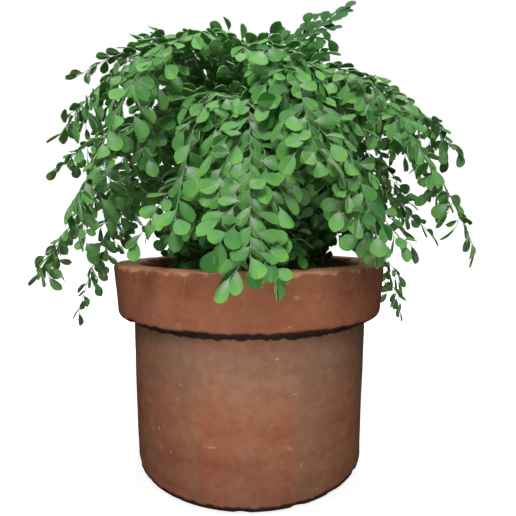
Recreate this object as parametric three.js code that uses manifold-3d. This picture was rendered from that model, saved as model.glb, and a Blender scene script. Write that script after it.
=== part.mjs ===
// A maidenhair fern in a round clay pot. Millimetres, +Z up, and the origin is the centre of the pot's base.
// An azimuth is in degrees round the pot from its front, which faces -Y, towards +X.
import * as THREE from "three";
import { mergeVertices } from "three/addons/utils/BufferGeometryUtils.js";
import Module from "manifold-3d";

const wasm = await Module();
wasm.setup();

// ---- Driving sizes ----

// The pot: a nearly straight body under a tall rim band with a rounded lip
const POT_HEIGHT = 145;
const RIM_RADIUS = 100;
const RIM_FOOT_RADIUS = 97.5;
const RIM_HEIGHT = 36;
const BODY_TOP_RADIUS = 87;
const BODY_BASE_RADIUS = 85;
const MOUTH_RADIUS = 83;
const INNER_BASE_RADIUS = 74;
const POT_FLOOR = 12;
const DRAIN_RADIUS = 9;
const LIP_ROUND = 5;
const POT_EDGE = 3;
const POT_SIDES = 36;

// The soil and the plain holes that the stalks stand in
const SOIL_EDGE_HEIGHT = 117;
const SOIL_HEIGHT = 123;
const SOIL_SIDES = 24;
const HOLE_RADIUS = 2;
const HOLE_SIDES = 5;
const HOLE_DEPTH = 13;
const GAP = 0.3;

// The ribs of a frond, and its leaflets. A rib is a flat ribbon, and a leaflet a thin blade on its edge
const STALK_HALF_WIDTH = 0.95;
const RIB_HALF_WIDTH = 0.6;
const STALK_HALF_THICK = 0.8;
const RIB_HALF_THICK = 0.45;
const BLADE_HALF_THICK = 0.35;
const ROOT_WIDTH = 1.5;
const STALK_STEP = 30;
const SIDE_RIB_ANGLE = 52;
const SIDE_RIB_DROOP = 0.2;
const LEAFLET_ANGLE = 56;
const LEAFLET_WIDTH = 0.8; // of its length
const LEAFLET_CURL = 0.14; // of its length
const BESIDE_AT = 0.55; // where a side rib's own side leaflet grows, as a share of the rib
const BESIDE_SIZE = 0.94; // of the rib's end leaflet

// A leaflet's right flank, right and left ends of its outer edge, and left flank: how far out they lie as
// a share of its length, how far aside as a share of half its width, and how far down as one of its curl
const LEAFLET_OUTLINE = [
  [0.6, 1, 0.1],
  [1, 0.5, 1],
  [1, -0.5, 1],
  [0.6, -1, 0.1],
];

// How near two pieces of foliage may come, measured from points that lie SAMPLE_STEP apart
const SAMPLE_STEP = 3;
const CLEARANCE = 2.1;
const CELL = 16;

// What a leaflet or a side rib tries, in this order, until it finds room
const LEAFLET_DROOPS = [12, 34, -12, 56, -34];
const LEAFLET_TWISTS = [0, 24, -24];
const LEAFLET_SCALES = [1, 0.82];
const SIDE_RIB_TILTS = [0, -16, 16, -32, 32];
const SIDE_RIB_SCALES = [1, 0.75];

// The habits of the plant's rings of fronds, from the outermost stalks inwards. root is how far the stalks
// stand from the pot's axis, bare the share of a frond that carries nothing, sides the lengths of its side
// ribs, and singles the number of its leaflets beyond them.
const RINGS = {
  skirt: { root: 52, bare: 0.46, sides: [], singles: 5, leaflet: 15 },
  lower: { root: 42, bare: 0.52, sides: [21], singles: 5, leaflet: 16 },
  middle: { root: 30, bare: 0.5, sides: [28, 23], singles: 5, leaflet: 17 },
  upper: { root: 18, bare: 0.5, sides: [28, 23], singles: 6, leaflet: 17 },
  heart: { root: 8, bare: 0.58, sides: [20], singles: 4, leaflet: 15 },
  sprig: { root: 0, bare: 0.66, sides: [22, 17], singles: 4, leaflet: 13 },
};

// Each frond: its azimuth, how far from the pot's axis its main rib reaches, the height of the rib's end,
// the height of its middle, where it arches over, and how far it rolls about its own length.
const FRONDS = {
  sprig: [[84, 71, 335, 282, 65]],
  upper: [
    [-96, 136, 290, 300],
    [-62, 130, 226, 284],
    [-28, 139, 204, 279],
    [12, 137, 198, 270],
    [41, 138, 200, 267],
    [80, 149, 222, 275],
    [116, 146, 224, 276],
    [152, 145, 214, 281],
    [-172, 146, 220, 289],
    [-134, 147, 236, 284],
  ],
  middle: [
    [-87, 145, 214, 249],
    [-45, 137, 178, 240],
    [-17, 139, 168, 247],
    [1, 149, 152, 240],
    [24, 140, 160, 247],
    [66, 154, 155, 249],
    [104, 144, 178, 241],
    [141, 146, 166, 249],
    [-179, 147, 164, 242],
    [-128, 147, 175, 247],
  ],
  lower: [
    [-93, 140, 101, 205],
    [-71, 146, 140, 211],
    [-30, 122, 162, 205],
    [46, 124, 160, 207],
    [84, 136, 165, 211],
    [98, 130, 100, 201],
    [158, 130, 132, 209],
    [-148, 131, 128, 205],
  ],
};

// The inner fronds stand evenly round the plant: where the first one stands, how many there are, and the
// fronds that take turns, without their azimuth.
const EVEN_FRONDS = {
  heart: {
    first: 40,
    count: 8,
    turns: [
      [44, 292, 284],
      [82, 268, 279],
    ],
  },
  skirt: {
    first: 22,
    count: 7,
    turns: [
      [88, 160, 178],
      [76, 172, 186],
    ],
  },
};
const UNEVEN_HEIGHT = 7; // how far an inner frond may stand above or below its like
const SWAY = 8; // how far a frond's tip may swing to the side

// Where a frond's arch has its shoulder, as a share of the frond's reach: further out the more it hangs
const SHOULDER = 0.35;
const SHOULDER_PER_FALL = 0.0035;
const SHOULDER_RANGE = [0.38, 0.74];

// Shoots stand a little closer towards a rib's tip, and the first one a little way in
const FIRST_SHOOT = 0.3;
const SHOOT_CROWDING = 0.94;

// ---- Closed shapes ----

const radians = THREE.MathUtils.degToRad;
const mix = THREE.MathUtils.lerp;
const GOLDEN_SHARE = (Math.sqrt(5) - 1) / 2;

/** A full turn of a profile of [radius, height] pairs about the Z axis. */
function turned(profile, sides) {
  const points = profile.map(([radius, height]) => new THREE.Vector2(radius, height));
  return new THREE.LatheGeometry(points, sides).rotateX(Math.PI / 2);
}

function solidOf(geometry) {
  const bare = geometry.clone().deleteAttribute("normal").deleteAttribute("uv");
  const merged = mergeVertices(bare, 1e-3);
  const vertProperties = merged.attributes.position.array;
  const triVerts = new Uint32Array(merged.index.array);
  return new wasm.Manifold(new wasm.Mesh({ numProp: 3, vertProperties, triVerts }));
}

function geometryOf(solid) {
  const { vertProperties, triVerts } = solid.getMesh();
  return new THREE.BufferGeometry()
    .setAttribute("position", new THREE.BufferAttribute(vertProperties, 3))
    .setIndex(new THREE.BufferAttribute(triVerts, 1));
}

// ---- The pot and its soil ----

const RIM_FOOT = POT_HEIGHT - RIM_HEIGHT;

/** The pot's inner wall, at a height. */
function innerRadius(height) {
  return mix(INNER_BASE_RADIUS, MOUTH_RADIUS, (height - POT_FLOOR) / (POT_HEIGHT - POT_FLOOR));
}

function potGeometry() {
  const lipCorner = LIP_ROUND * (1 - Math.SQRT1_2);
  return turned(
    [
      [DRAIN_RADIUS, 0],
      [BODY_BASE_RADIUS - POT_EDGE, 0],
      [BODY_BASE_RADIUS, POT_EDGE],
      [BODY_TOP_RADIUS, RIM_FOOT],
      [RIM_FOOT_RADIUS - POT_EDGE, RIM_FOOT],
      [RIM_FOOT_RADIUS, RIM_FOOT + POT_EDGE],
      [RIM_RADIUS, POT_HEIGHT - LIP_ROUND],
      [RIM_RADIUS - lipCorner, POT_HEIGHT - lipCorner],
      [RIM_RADIUS - LIP_ROUND, POT_HEIGHT],
      [MOUTH_RADIUS + LIP_ROUND, POT_HEIGHT],
      [MOUTH_RADIUS + lipCorner, POT_HEIGHT - lipCorner],
      [innerRadius(POT_HEIGHT - LIP_ROUND), POT_HEIGHT - LIP_ROUND],
      [INNER_BASE_RADIUS, POT_FLOOR],
      [DRAIN_RADIUS, POT_FLOOR],
      [DRAIN_RADIUS, 0],
    ],
    POT_SIDES,
  );
}

/** The soil's top, which is a little higher in the middle. */
function soilTop(radius) {
  return mix(SOIL_HEIGHT, SOIL_EDGE_HEIGHT, (radius / innerRadius(SOIL_EDGE_HEIGHT)) ** 2);
}

function soilGeometry(roots) {
  // A round solid with straight sides lies inside the pot's own straight sides by this share
  const inside = Math.cos(Math.PI / POT_SIDES);
  const base = POT_FLOOR + GAP;
  const edge = innerRadius(SOIL_EDGE_HEIGHT) * inside - GAP;
  const rings = [1, 0.66, 0.33].map((share) => [edge * share, soilTop(edge * share)]);
  const profile = [[0, base], [innerRadius(base) * inside - GAP, base], ...rings, [0, SOIL_HEIGHT]];
  let soil = solidOf(turned(profile, SOIL_SIDES));
  for (const root of roots) {
    const hole = new THREE.CylinderGeometry(HOLE_RADIUS, HOLE_RADIUS, HOLE_DEPTH * 2, HOLE_SIDES)
      .rotateX(Math.PI / 2)
      .translate(root.x, root.y, soilTop(Math.hypot(root.x, root.y)));
    soil = soil.subtract(solidOf(hole));
  }
  return geometryOf(soil);
}

/** Whether a point of the foliage is clear of the pot and the soil. */
function offThePot({ x, y, z }) {
  const radius = Math.hypot(x, y);
  if (z > POT_HEIGHT + CLEARANCE || radius > RIM_RADIUS + CLEARANCE) return true;
  return radius < innerRadius(z) - CLEARANCE && z > soilTop(radius) + CLEARANCE;
}

// ---- Thin foliage as one sheet ----

/** A closed thin solid: each face is laid once and gets the same triangles on both sides. */
class Sheet {
  points = [];
  faces = [];

  point(place, up, halfThick) {
    const lift = up.clone().multiplyScalar(halfThick);
    this.points.push([place.clone().add(lift), place.clone().sub(lift)]);
    return this.points.length - 1;
  }

  /** A triangle of point numbers, counterclockwise from above. */
  face(...corners) {
    this.faces.push(corners);
  }

  geometry() {
    const key = (a, b) => a * this.points.length + b;
    const edges = this.faces.flatMap(([a, b, c]) => [[a, b], [b, c], [c, a]]);
    const laid = new Set(edges.map(([a, b]) => key(a, b)));
    const sides = edges.filter(([a, b]) => !laid.has(key(b, a)));
    const above = (n) => 2 * n;
    const below = (n) => 2 * n + 1;
    const index = [
      ...this.faces.flatMap(([a, b, c]) => [above(a), above(b), above(c)]),
      ...this.faces.flatMap(([a, b, c]) => [below(a), below(c), below(b)]),
      ...sides.flatMap(([a, b]) => [below(a), below(b), above(b), below(a), above(b), above(a)]),
    ];
    return new THREE.BufferGeometry().setFromPoints(this.points.flat()).setIndex(index);
  }
}

/** What a rib follows: the place, direction, right side and upper side at any distance along it. */
class Line {
  constructor(curve, right) {
    this.curve = curve;
    this.right = right;
    this.length = curve.getLength();
  }

  at(distance) {
    const share = THREE.MathUtils.clamp(distance / this.length, 0, 1);
    const place = this.curve.getPointAt(share);
    const along = this.curve.getTangentAt(share);
    const right = this.right.clone().addScaledVector(along, -this.right.dot(along)).normalize();
    return { place, along, right, up: right.clone().cross(along) };
  }

  /** The triangles of a ribbon along the line, for keeping other foliage away. */
  ribbon(halfWidth) {
    const steps = Math.ceil(this.length / CELL);
    const pairs = [...Array(steps + 1).keys()].map((step) => {
      const { place, right } = this.at((this.length * step) / steps);
      return [-1, 1].map((side) => place.clone().addScaledVector(right, side * halfWidth));
    });
    return pairs.slice(1).flatMap(([left, right], n) => [
      [...pairs[n], left],
      [pairs[n][1], right, left],
    ]);
  }
}

/** All foliage placed so far, as triangles sorted into cells of space, each with the rib it belongs to. */
class Crowd {
  cells = new Map();

  static cellsOf(box) {
    const low = box.min.clone().divideScalar(CELL).floor();
    const high = box.max.clone().divideScalar(CELL).floor();
    const keys = [];
    for (let x = low.x; x <= high.x; x++)
      for (let y = low.y; y <= high.y; y++)
        for (let z = low.z; z <= high.z; z++) keys.push(`${x} ${y} ${z}`);
    return keys;
  }

  add(triangles, owner) {
    for (const corners of triangles) {
      const entry = { triangle: new THREE.Triangle(...corners), owner };
      const box = new THREE.Box3().setFromPoints(corners).expandByScalar(CLEARANCE);
      for (const key of Crowd.cellsOf(box)) {
        if (!this.cells.has(key)) this.cells.set(key, []);
        this.cells.get(key).push(entry);
      }
    }
  }

  /** Whether these triangles keep clear of everything but the rib that they grow from. */
  hasRoomFor(triangles, parent) {
    const nearest = new THREE.Vector3();
    return triangles.flatMap(samplesOf).every((point) => {
      if (!offThePot(point)) return false;
      const [key] = Crowd.cellsOf(new THREE.Box3(point, point));
      return (this.cells.get(key) ?? []).every(({ triangle, owner }) => {
        if (owner === parent) return true;
        triangle.closestPointToPoint(point, nearest);
        return nearest.distanceTo(point) > CLEARANCE;
      });
    });
  }
}

/** Points spread over a triangle, its corners and edges too. */
function samplesOf([a, b, c]) {
  const longest = Math.max(a.distanceTo(b), b.distanceTo(c), c.distanceTo(a));
  const steps = Math.ceil(longest / SAMPLE_STEP);
  const samples = [];
  for (let i = 0; i <= steps; i++)
    for (let j = 0; j <= steps - i; j++) {
      const point = a.clone().multiplyScalar((steps - i - j) / steps);
      samples.push(point.addScaledVector(b, i / steps).addScaledVector(c, j / steps));
    }
  return samples;
}

// ---- Leaflets and ribs ----

/** The way a shoot leaves its rib: side is -1 left, 1 right or 0 straight on, and it droops and twists. */
function shootFrame(line, { at, side }, angle, droop, twist = 0) {
  const { place, along, right, up } = line.at(at);
  const out = along.clone().applyAxisAngle(up, -side * radians(angle));
  const hinge = out.clone().cross(up);
  out.applyAxisAngle(hinge, -radians(droop));
  const face = up.clone().applyAxisAngle(hinge, -radians(droop)).applyAxisAngle(out, radians(twist));
  const root = place.clone().addScaledVector(right, side * RIB_HALF_WIDTH);
  return { root, out, face, right: out.clone().cross(face) };
}

/** The corners of a fan-shaped leaflet beyond its root. */
function leafletCorners({ root, out, face, right }, length) {
  const halfWidth = (length * LEAFLET_WIDTH) / 2;
  return LEAFLET_OUTLINE.map(([reach, aside, fall]) =>
    root
      .clone()
      .addScaledVector(out, reach * length)
      .addScaledVector(right, aside * halfWidth)
      .addScaledVector(face, -fall * LEAFLET_CURL * length),
  );
}

/** The leaflet's faces as numbers of its corners: left and right root, then those of its outline. */
const LEAFLET_FACES = [
  [0, 1, 2],
  [0, 2, 5],
  [5, 2, 3],
  [5, 3, 4],
];

/** Turns and shrinks a leaflet until it finds room, and returns it with its corners, or nothing. */
function placeLeaflet(crowd, line, shoot, length) {
  const angle = shoot.side === 0 ? 0 : LEAFLET_ANGLE;
  for (const scale of LEAFLET_SCALES)
    for (const droop of LEAFLET_DROOPS)
      for (const twist of LEAFLET_TWISTS) {
        const frame = shootFrame(line, shoot, angle, droop, twist);
        const corners = leafletCorners(frame, length * scale);
        const ring = [frame.root, frame.root, ...corners];
        const triangles = LEAFLET_FACES.slice(1).map((face) => face.map((n) => ring[n]));
        if (!crowd.hasRoomFor(triangles, line)) continue;
        crowd.add(triangles, shoot);
        return { ...shoot, corners, face: frame.face };
      }
  return null;
}

/** Tilts and shortens a side rib until it finds room, and returns it with its own line, or nothing. */
function placeSideRib(crowd, line, shoot, length) {
  for (const scale of SIDE_RIB_SCALES)
    for (const tilt of SIDE_RIB_TILTS) {
      const { root, out, face, right } = shootFrame(line, shoot, SIDE_RIB_ANGLE, tilt);
      const middle = root.clone().addScaledVector(out, (length * scale) / 2);
      const end = middle.clone().addScaledVector(out, (length * scale) / 2);
      end.addScaledVector(face, -SIDE_RIB_DROOP * length * scale);
      const side = new Line(new THREE.QuadraticBezierCurve3(root, middle, end), right);
      const ribbon = side.ribbon(RIB_HALF_WIDTH);
      if (!crowd.hasRoomFor(ribbon, line)) continue;
      crowd.add(ribbon, side);
      return { ...shoot, line: side };
    }
  return null;
}

/** Lays a leaflet on the root edge [left, right]. */
function layLeaflet(sheet, root, { corners, face }) {
  const ring = [...root, ...corners.map((corner) => sheet.point(corner, face, BLADE_HALF_THICK))];
  for (const corners of LEAFLET_FACES) sheet.face(...corners.map((n) => ring[n]));
}

/** Lays a rib as a ribbon from the edge [left, right], then all that grows from it. */
function layRib(sheet, start, line, plain, shoots, halfWidth, halfThick) {
  const lay = (at, side) => {
    const { place, right, up } = line.at(at);
    const share = at / line.length;
    const edge = place.addScaledVector(right, side * halfWidth(share));
    return { at, number: sheet.point(edge, up, halfThick(share)) };
  };
  const [left, right] = [-1, 1].map((side) => {
    const roots = shoots
      .filter((shoot) => shoot.side === side)
      .flatMap(({ at }) => [at - ROOT_WIDTH / 2, at + ROOT_WIDTH / 2]);
    const stations = [...plain, ...roots, line.length].sort((a, b) => a - b);
    return [{ at: 0, number: start[(side + 1) / 2] }, ...stations.map((at) => lay(at, side))];
  });
  for (let i = 0, j = 0; i < left.length - 1 || j < right.length - 1; ) {
    const onLeft = j === right.length - 1 || (i < left.length - 1 && left[i + 1].at <= right[j + 1].at);
    const next = onLeft ? left[i + 1] : right[j + 1];
    sheet.face(left[i].number, right[j].number, next.number);
    if (onLeft) i++;
    else j++;
  }
  for (const shoot of shoots) {
    const rail = shoot.side < 0 ? left : right;
    const rear = rail.findIndex(({ at }) => at === shoot.at - ROOT_WIDTH / 2);
    const ends = shoot.side === 0 ? [left.at(-1), right.at(-1)] : rail.slice(rear, rear + 2);
    const edge = ends.map(({ number }) => number);
    if (shoot.side > 0) edge.reverse();
    if (shoot.line) {
      const thin = () => RIB_HALF_WIDTH;
      layRib(sheet, edge, shoot.line, [], shoot.shoots, thin, () => RIB_HALF_THICK);
    } else layLeaflet(sheet, edge, shoot);
  }
}

// ---- Fronds ----

/** Numbers from -1 to 1 that are well spread over a run of whole numbers. */
function spread(n) {
  return 2 * ((n * GOLDEN_SHARE) % 1) - 1;
}

/** The arching line of a frond's main rib, from the bottom of its hole to its tip. */
function frondLine(rootRadius, [azimuth, reach, tipHeight, middleHeight, roll = 0], sway) {
  const out = new THREE.Vector3(Math.sin(radians(azimuth)), -Math.cos(radians(azimuth)), 0);
  const right = new THREE.Vector3(out.y, -out.x, 0);
  const rootHeight = soilTop(rootRadius) - HOLE_DEPTH + GAP;
  // The middle of a cubic Bezier curve is an eighth of its two ends and three eighths of its two handles
  const arch = (middleHeight - (rootHeight + tipHeight) / 8) / (6 / 8);
  const hang = SHOULDER + SHOULDER_PER_FALL * (middleHeight - tipHeight);
  const shoulder = THREE.MathUtils.clamp(hang, ...SHOULDER_RANGE);
  const point = (radius, height, aside) =>
    out.clone().multiplyScalar(radius).addScaledVector(right, aside).setZ(height);
  const curve = new THREE.CubicBezierCurve3(
    point(rootRadius, rootHeight, 0),
    point(rootRadius, arch, 0),
    point(reach * shoulder, arch, sway * 0.3),
    point(reach, tipHeight, sway),
  );
  curve.arcLengthDivisions = 400;
  const chord = curve.v3.clone().sub(curve.v0).normalize();
  return new Line(curve, right.applyAxisAngle(chord, radians(roll)));
}

/** Every frond with its name, habit and line. */
function listFronds() {
  const rows = Object.entries(FRONDS).flatMap(([ring, list]) => list.map((row) => [ring, row]));
  for (const [ring, { first, count, turns }] of Object.entries(EVEN_FRONDS))
    for (let n = 0; n < count; n++) {
      const [reach, tipHeight, middleHeight] = turns[n % turns.length];
      const lift = UNEVEN_HEIGHT * spread(n);
      const azimuth = first + (360 * n) / count;
      rows.push([ring, [azimuth, reach, tipHeight + lift, middleHeight + lift]]);
    }
  const counts = {};
  return rows.map(([ring, row], n) => {
    counts[ring] = (counts[ring] ?? 0) + 1;
    const habit = RINGS[ring];
    const line = frondLine(habit.root, row, SWAY * spread(n));
    return { name: `frond_${ring}_${counts[ring]}`, habit, line };
  });
}

/** Where the shoots of a frond's main rib leave it: side ribs first, then single leaflets, then its tip. */
function mainShoots({ habit, line }) {
  const stations = habit.sides.length * 2 + habit.singles;
  const first = line.length * habit.bare;
  return [...Array(stations).keys()].map((n) => ({
    at: mix(first, line.length, ((n + FIRST_SHOOT) / stations) ** SHOOT_CROWDING),
    side: n % 2 ? 1 : -1,
    sideLength: habit.sides[n >> 1],
  }));
}

/** Fills every frond's shoots in turn, so that no frond takes the room of the others. */
function growAll(fronds) {
  const crowd = new Crowd();
  const grow = (line, shoot, length) => placeLeaflet(crowd, line, shoot, length);
  for (const { line } of fronds) crowd.add(line.ribbon(STALK_HALF_WIDTH), line);
  for (const frond of fronds) {
    const wanted = mainShoots(frond);
    frond.shoots = wanted.filter((shoot) => !shoot.sideLength);
    frond.sideRibs = wanted
      .filter((shoot) => shoot.sideLength)
      .map((shoot) => placeSideRib(crowd, frond.line, shoot, shoot.sideLength))
      .filter(Boolean);
  }
  for (const frond of fronds) {
    const { line, habit } = frond;
    const tip = grow(line, { at: line.length, side: 0 }, habit.leaflet);
    const ends = frond.sideRibs.map((rib) =>
      grow(rib.line, { at: rib.line.length, side: 0 }, habit.leaflet),
    );
    frond.tips = { tip, ends };
  }
  for (const frond of fronds)
    frond.shoots = frond.shoots.map((shoot) => grow(frond.line, shoot, frond.habit.leaflet));
  for (const frond of fronds) {
    const { habit, tips, sideRibs } = frond;
    sideRibs.forEach((rib, n) => {
      const { length } = rib.line;
      const shoot = { at: length * BESIDE_AT, side: -rib.side };
      const beside = grow(rib.line, shoot, habit.leaflet * BESIDE_SIZE);
      rib.shoots = [beside, tips.ends[n]].filter(Boolean);
    });
    frond.shoots = [...sideRibs, ...frond.shoots, tips.tip].filter(Boolean);
  }
}

/** One frond as a closed solid that stands in its hole. */
function frondGeometry({ line, shoots }) {
  const sheet = new Sheet();
  const { place, right, up } = line.at(0);
  const base = [-1, 1].map((side) => {
    const edge = place.clone().addScaledVector(right, side * STALK_HALF_WIDTH);
    return sheet.point(edge, up, STALK_HALF_THICK);
  });
  const first = Math.min(...shoots.map((shoot) => shoot.at));
  const steps = Math.floor(first / STALK_STEP);
  const plain = [...Array(steps).keys()].map((n) => ((n + 1) * first) / (steps + 1));
  const width = (share) => mix(STALK_HALF_WIDTH, RIB_HALF_WIDTH, share);
  const thick = (share) => mix(STALK_HALF_THICK, RIB_HALF_THICK, share);
  layRib(sheet, base, line, plain, shoots, width, thick);
  return sheet.geometry();
}

// ---- The whole plant ----

const MATERIALS = {
  terracotta: new THREE.MeshStandardMaterial({ color: 0x96583a, roughness: 0.85 }),
  soil: new THREE.MeshStandardMaterial({ color: 0x2a1c14, roughness: 0.95 }),
  frond: new THREE.MeshStandardMaterial({ color: 0x3f8f3f, roughness: 0.55 }),
};

function named(name, geometry, material) {
  const mesh = new THREE.Mesh(geometry, material);
  mesh.name = name;
  return mesh;
}

const fronds = listFronds();
growAll(fronds);
const roots = fronds.map(({ line }) => line.at(0).place);

const plant = new THREE.Group();
plant.add(named("pot", potGeometry(), MATERIALS.terracotta));
plant.add(named("soil", soilGeometry(roots), MATERIALS.soil));
for (const frond of fronds) plant.add(named(frond.name, frondGeometry(frond), MATERIALS.frond));

export default plant;
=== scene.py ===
"""A maidenhair fern in a weathered clay pot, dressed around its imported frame.

Metres, +Z up. The origin is the centre of the pot's base, and the front faces -Y.
"""

import math
import random
from collections import defaultdict
from functools import reduce
from itertools import product

import bmesh
import bpy
from bpy.props import FloatProperty, FloatVectorProperty, IntProperty, PointerProperty
from mathutils import Matrix, Vector, noise
from mathutils.geometry import interpolate_bezier


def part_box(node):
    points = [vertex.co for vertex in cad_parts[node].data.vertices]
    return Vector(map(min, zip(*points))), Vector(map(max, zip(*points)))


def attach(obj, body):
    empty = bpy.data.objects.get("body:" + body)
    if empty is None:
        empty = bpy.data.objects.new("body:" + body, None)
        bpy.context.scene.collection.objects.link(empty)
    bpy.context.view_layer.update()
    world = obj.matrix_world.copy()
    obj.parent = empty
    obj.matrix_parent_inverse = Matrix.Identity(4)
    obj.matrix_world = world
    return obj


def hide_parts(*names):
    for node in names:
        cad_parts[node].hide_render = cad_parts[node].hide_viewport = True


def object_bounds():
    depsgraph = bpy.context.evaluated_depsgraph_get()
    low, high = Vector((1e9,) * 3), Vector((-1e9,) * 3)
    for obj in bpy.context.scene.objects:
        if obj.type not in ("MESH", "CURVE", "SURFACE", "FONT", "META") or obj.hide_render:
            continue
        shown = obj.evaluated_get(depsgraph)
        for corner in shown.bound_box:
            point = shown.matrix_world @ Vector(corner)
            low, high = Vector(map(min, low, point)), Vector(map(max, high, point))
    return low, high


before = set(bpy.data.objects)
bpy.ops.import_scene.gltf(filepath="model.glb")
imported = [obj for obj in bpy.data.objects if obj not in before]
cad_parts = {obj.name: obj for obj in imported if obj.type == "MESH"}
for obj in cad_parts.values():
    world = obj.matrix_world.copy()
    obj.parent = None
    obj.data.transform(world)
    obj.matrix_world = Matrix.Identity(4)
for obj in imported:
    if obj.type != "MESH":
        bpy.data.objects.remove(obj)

CAD_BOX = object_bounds()
POT_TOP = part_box("pot")[1]

bl_info = {
    "name": "Potted maidenhair fern",
    "version": (1, 0, 0),
    "blender": (4, 5, 0),
    "location": "View3D > Sidebar > Fern",
    "description": "Dresses a maidenhair fern in a weathered clay pot around its packed frame",
    "category": "Add Mesh",
}

MM = 0.001

# ---- The plan of the plant: the part's own numbers, in millimetres and degrees ----

# How far a ring's stalks stand from the pot's axis, which share of a frond is bare, the longest side rib,
# how far its side ribs are apart, the usual length of its leaflets, their greens from deep (0) to young (1),
# how green its main rib gets, and how far its side ribs droop (or rise, below 0) where it doesn't hang yet
HABIT = ("root", "bare", "side_rib", "apart", "leaflet", "tones", "rib", "crest")
RINGS = {
    # The skirt's and the sprig's greens stay deep as painted shade, and the lower ring's start lighter as
    # painted light where it hangs in shade
    "skirt": (52, 0.08, 28, 5.2, 9.5, (0.0, 0.25), 0.9, (-18, 28)),
    "lower": (42, 0.1, 42, 5.2, 11.0, (0.15, 1.0), 0.9, (-18, 28)),
    "middle": (30, 0.16, 42, 4.7, 11.2, (0.0, 1.0), 0.9, (-14, 28)),
    "upper": (18, 0.2, 42, 4.3, 11.0, (0.0, 1.0), 0.9, (-4, 26)),
    "heart": (8, 0.26, 38, 4.2, 11.0, (0.2, 1.0), 0.9, (-33, -6)),
    "sprig": (0, 0.68, 22, 2.7, 11.0, (0.0, 0.03), 0.5, (-18, 28)),
}

# Each frond: azimuth from the front towards +X, reach, height of its tip, height of its middle, and roll
FRONDS = {
    "sprig": [(84, 71, 335, 282, 65)],
    "upper": [
        (-96, 136, 290, 300), (-62, 130, 226, 284), (-28, 139, 204, 279), (12, 137, 198, 270),
        (41, 138, 200, 267), (80, 149, 222, 275), (116, 146, 224, 276), (152, 145, 214, 281),
        (-172, 146, 220, 289), (-134, 147, 236, 284),
    ],
    "middle": [
        (-87, 145, 214, 249), (-45, 137, 178, 240), (-17, 139, 168, 247), (1, 149, 152, 240),
        (24, 140, 160, 247), (66, 154, 155, 249), (104, 144, 178, 241), (141, 146, 166, 249),
        (-179, 147, 164, 242), (-128, 147, 175, 247),
    ],
    "lower": [
        (-93, 140, 101, 205), (-71, 146, 140, 211), (-30, 122, 162, 205), (46, 124, 160, 207),
        (84, 136, 165, 211), (98, 130, 100, 201), (158, 130, 132, 209), (-148, 131, 128, 205),
    ],
}

# These rings stand evenly round the plant, and their fronds take turns in reach and heights
EVEN_FRONDS = {
    "heart": {"first": 40, "count": 8, "turns": [(44, 292, 284), (82, 268, 279)]},
    "skirt": {"first": 22, "count": 7, "turns": [(88, 160, 178), (76, 172, 186)]},
}
UNEVEN_HEIGHT = 7
SWAY = 8
TIP_SWAY_AT_SHOULDER = 0.3
SHOULDER = 0.35
SHOULDER_PER_FALL = 0.0035
SHOULDER_RANGE = (0.38, 0.74)
STALK_DEPTH = 12.7
GOLDEN_SHARE = (math.sqrt(5) - 1) / 2

# ---- How a frond is dressed, with its angles in degrees ----

MAIN_RIB_POINTS = 72
SIDE_RIB_ANGLE = (42, 62)
HANGING_TILT = (-14, 46)
TAPER = (0.42, 0.85)
# These fronds have a bushier or a slimmer tip than the rest, or a flatter crest than their ring
OWN_HABITS = {
    "frond_middle_4": {"taper": 0.28},
    "frond_middle_3": {"taper": 1.3},
    "frond_lower_3": {"taper": 1.3},
    "frond_upper_1": {"taper": 1.25},
    "frond_lower_1": {"taper": 0.8},
    "frond_lower_2": {"taper": 0.35},
    "frond_heart_7": {"crest": (-8, 10)},
}
SIDE_RIB_SAG = (0.03, 0.13)
# Side ribs grow from half their length to all of it over this share of a frond
SIDE_RIB_SWELL = 0.12
SHORTEST_SIDE_RIB = 8 * MM
STALK_RADIUS = 0.95 * MM
RIB_RADIUS = 0.44 * MM
RIB_TIP_RADIUS = 0.22 * MM
TWIG_RADIUS = 0.17 * MM
RIB_ZIGZAG = 0.55 * MM
TWIG_ZIGZAG = 0.4 * MM
# The zigzag of a main rib gets its full width over this distance
ZIGZAG_START = 20 * MM
RIB_WANDER = 1.6 * MM
WANDERS_PER_METRE = 22
NOISE_ROOM = 50
SIDE_RIB_REACH = (0.8, 1.08)
# How strongly a side rib turns towards the frond's tip at each leaflet
SIDE_RIB_TURN = 0.04
LEAFLET_STEP = (0.88, 1.12)
# Against the ring's usual leaflets: those on a side rib, at its end, and a main rib's first and single ones
LEAFLET_SIZES = (0.72, 1.1)
END_LEAFLET = 1.08
FIRST_LEAFLET = 1.06
SINGLE_LEAFLET = 1.05
# No two leaflets' middles are nearer than this
LEAFLET_ROOM = 3.1 * MM
LEAFLET_MIDDLE = 0.6
LEAFLET_ANGLE = (22, 48)
END_LEAFLET_ANGLE = (-12, 12)
# On a level rib the leaflets lie flat, and on a hanging one they droop and turn about more
FLAT_DROOP = (-12, 14)
FLAT_TWIST = 13
LOOSE_DROOP = (-24, 44)
LOOSE_TWIST = 38
LEAFLET_TRIES = 6
# How far the foliage may pass the part's box, as a share of its size, and how far it stays off pot and soil
BOX_SLACK = 0.012
FOLIAGE_CLEARANCE = 1.2 * MM

# A leaflet's rows from its root outwards, as shares of its length: how far along, half as wide, and how
# far the row's ends bow back
LEAFLET_ROWS = (
    (0.0, 0.02, 0.0),
    (0.12, 0.034, 0.0),
    (0.25, 0.165, 0.0),
    (0.46, 0.275, 0.005),
    (0.69, 0.315, 0.03),
    (0.88, 0.26, 0.05),
    (0.985, 0.15, 0.07),
)
# The leaflets' forms: how far the halves fold up, how far the tip curls down, how deep the outer edge is
# notched, and how wide the leaflet is
LEAFLET_FORMS = (
    (0.38, 0.1, 0.01, 0.96),
    (0.16, 0.2, 0.03, 1.1),
    (0.58, 0.06, 0.0, 0.9),
    (-0.2, 0.14, 0.015, 1.0),
    (0.26, 0.3, 0.03, 0.92),
    (0.44, -0.12, 0.02, 1.04),
)
LEAFLET_THICKNESS = 0.032
LEAFLET_CUP = 0.6
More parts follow.
